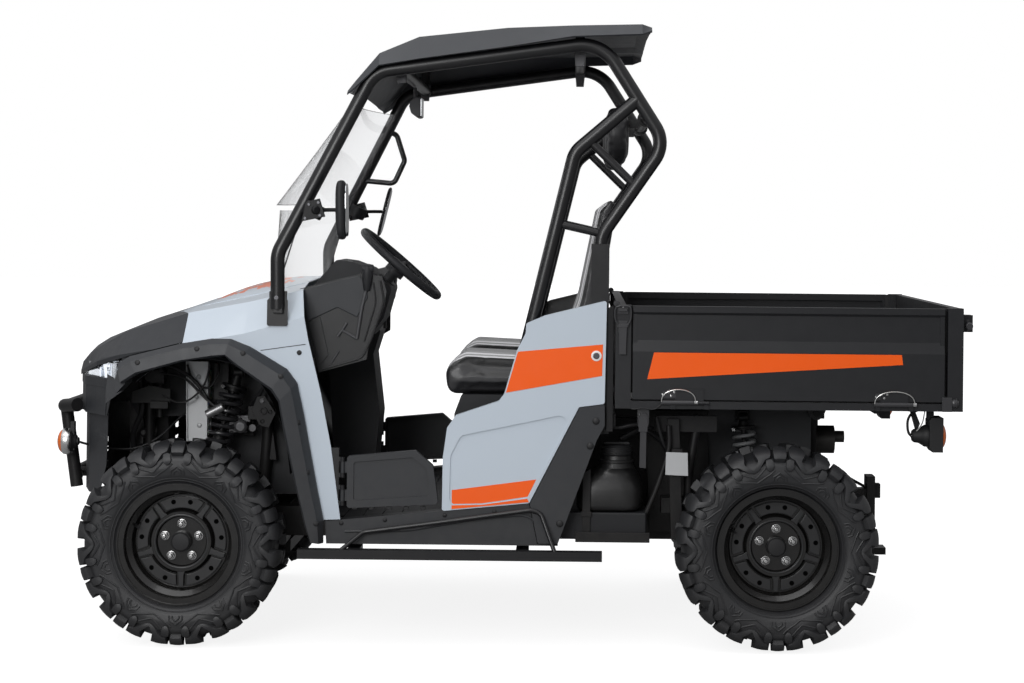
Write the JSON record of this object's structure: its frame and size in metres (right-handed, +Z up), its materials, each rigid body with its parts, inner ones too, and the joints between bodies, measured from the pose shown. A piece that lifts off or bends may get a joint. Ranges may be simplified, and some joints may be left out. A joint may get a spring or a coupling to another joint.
{
  "type": "side-by-side utility vehicle",
  "caption": "Side-by-side utility vehicle with a roll cage, roof, windscreen, half doors and a tipping cargo bed with drop sides.",
  "frame": {"origin": "on the ground, at the middle of the overall length and width", "axes": "+X forward, +Y to the vehicle's left, +Z up"},
  "size_m": [3.038, 1.66, 2.046],
  "materials": {
    "bed_steel": "satin",
    "body_dark": "satin",
    "body_light": "gloss",
    "bottle_plastic": "translucent",
    "cabin_plastic": "grained",
    "cage_steel": "gloss",
    "cast_metal": "painted",
    "clear_screen": "clear",
    "frame_steel": "satin",
    "lamp_amber": "clear amber",
    "lamp_clear": "clear",
    "radiator_alloy": "matt",
    "rim_steel": "satin",
    "rod_steel": "turned",
    "roof_plastic": "satin",
    "seat_vinyl": "vinyl, striped",
    "silencer_steel": "heat stained",
    "spring_steel": "satin",
    "tyre": "moulded"
  },
  "bodies": {
    "chassis": {"main_frame": "frame_steel", "front_frame": "frame_steel", "rear_frame": "frame_steel", "front_bumper": "frame_steel", "hitch": "frame_steel", "roll_cage_left": "cage_steel", "roll_cage_right": "cage_steel", "cage_crossbars": "cage_steel", "step_bars": "cage_steel", "roof": "roof_plastic", "windshield": "clear_screen", "cowl_panel": "body_light", "rear_side_panels": "body_light", "nose_panel": "body_dark", "front_fascia": "body_dark", "front_flares": "body_dark", "sill_panels": "body_dark", "splash_shields": "body_dark", "dashboard": "cabin_plastic", "steering_column": "cabin_plastic", "floor_pan": "cabin_plastic", "seat_base": "cabin_plastic", "headlights": "lamp_clear", "marker_lamps": "lamp_amber", "controls": "cabin_plastic", "mirrors": "cabin_plastic", "door_posts": "cage_steel", "seat_cushions": "seat_vinyl", "seat_backs": "seat_vinyl", "headrests": "seat_vinyl", "fuel_tank": "cabin_plastic", "engine": "cast_metal", "radiator": "radiator_alloy", "coolant_bottle": "bottle_plastic", "silencer": "silencer_steel", "wishbones": "frame_steel", "rear_hub_carriers": "cast_metal", "shocks": "spring_steel", "driveline": "cast_metal", "rack_housing": "cast_metal"},
    "knuckle_left": {"knuckle_left": "cast_metal"},
    "knuckle_right": {"knuckle_right": "cast_metal"},
    "tie_rods": {"tie_rods": "rod_steel"},
    "steering_wheel": {"steering_wheel": "cabin_plastic"},
    "front_wheel_left": {"front_left_rim": "rim_steel", "front_left_tyre": "tyre"},
    "front_wheel_right": {"front_right_rim": "rim_steel", "front_right_tyre": "tyre"},
    "rear_wheel_left": {"rear_left_rim": "rim_steel", "rear_left_tyre": "tyre"},
    "rear_wheel_right": {"rear_right_rim": "rim_steel", "rear_right_tyre": "tyre"},
    "door_left": {"door_left": "body_dark"},
    "door_right": {"door_right": "body_dark"},
    "bed": {"bed_tub": "bed_steel", "tail_lamps": "lamp_amber"},
    "bed_side_left": {"bed_side_left": "bed_steel"},
    "bed_side_right": {"bed_side_right": "bed_steel"},
    "tailgate": {"tailgate": "bed_steel"}
  },
  "joints": [
    {"name": "steer_left", "type": "hinge", "parent": "chassis", "child": "knuckle_left", "pos_m": [1.03, 0.6, 0.33], "axis": [0, 0, 1], "range_deg": [-30, 30]},
    {"name": "steer_right", "type": "hinge", "parent": "chassis", "child": "knuckle_right", "pos_m": [1.03, -0.6, 0.33], "axis": [0, 0, 1], "range_deg": [-31, 31]},
    {"name": "rack_slide", "type": "slide", "parent": "chassis", "child": "tie_rods", "axis": [0, 1, 0], "range_m": [-0.046, 0.046]},
    {"name": "steering_wheel_turn", "type": "hinge", "parent": "chassis", "child": "steering_wheel", "pos_m": [0.356, 0.36, 1.226], "axis": [-0.6537, 0, 0.7567], "range_deg": [-460, 460]},
    {"name": "front_left_spin", "type": "hinge", "parent": "knuckle_left", "child": "front_wheel_left", "pos_m": [1.03, 0.65, 0.33], "axis": [0, 1, 0], "continuous": true},
    {"name": "front_right_spin", "type": "hinge", "parent": "knuckle_right", "child": "front_wheel_right", "pos_m": [1.03, -0.65, 0.33], "axis": [0, 1, 0], "continuous": true},
    {"name": "rear_left_spin", "type": "hinge", "parent": "chassis", "child": "rear_wheel_left", "pos_m": [-0.89, 0.63, 0.33], "axis": [0, 1, 0], "continuous": true},
    {"name": "rear_right_spin", "type": "hinge", "parent": "chassis", "child": "rear_wheel_right", "pos_m": [-0.89, -0.63, 0.33], "axis": [0, 1, 0], "continuous": true},
    {"name": "door_left_hinge", "type": "hinge", "parent": "chassis", "child": "door_left", "pos_m": [0.509, 0.704, 0.53], "axis": [0, 0, -1], "range_deg": [0, 70]},
    {"name": "door_right_hinge", "type": "hinge", "parent": "chassis", "child": "door_right", "pos_m": [0.509, -0.704, 0.53], "axis": [0, 0, 1], "range_deg": [0, 70]},
    {"name": "bed_tilt", "type": "hinge", "parent": "chassis", "child": "bed", "pos_m": [-1.05, 0, 0.735], "axis": [0, -1, 0], "range_deg": [0, 40]},
    {"name": "bed_side_left_hinge", "type": "hinge", "parent": "bed", "child": "bed_side_left", "pos_m": [-0.93, 0.708, 0.796], "axis": [-1, 0, 0], "range_deg": [0, 90]},
    {"name": "bed_side_right_hinge", "type": "hinge", "parent": "bed", "child": "bed_side_right", "pos_m": [-0.93, -0.708, 0.796], "axis": [1, 0, 0], "range_deg": [0, 90]},
    {"name": "tailgate_hinge", "type": "hinge", "parent": "bed", "child": "tailgate", "pos_m": [-1.492, 0, 0.8], "axis": [0, -1, 0], "range_deg": [0, 90]}
  ],
  "couplings": [
    {"joint": "steer_right", "follows": "steer_left", "ratio": 1},
    {"joint": "rack_slide", "follows": "steer_left", "m_per_rad": -0.08117},
    {"joint": "steering_wheel_turn", "follows": "steer_left", "ratio": 15}
  ]
}
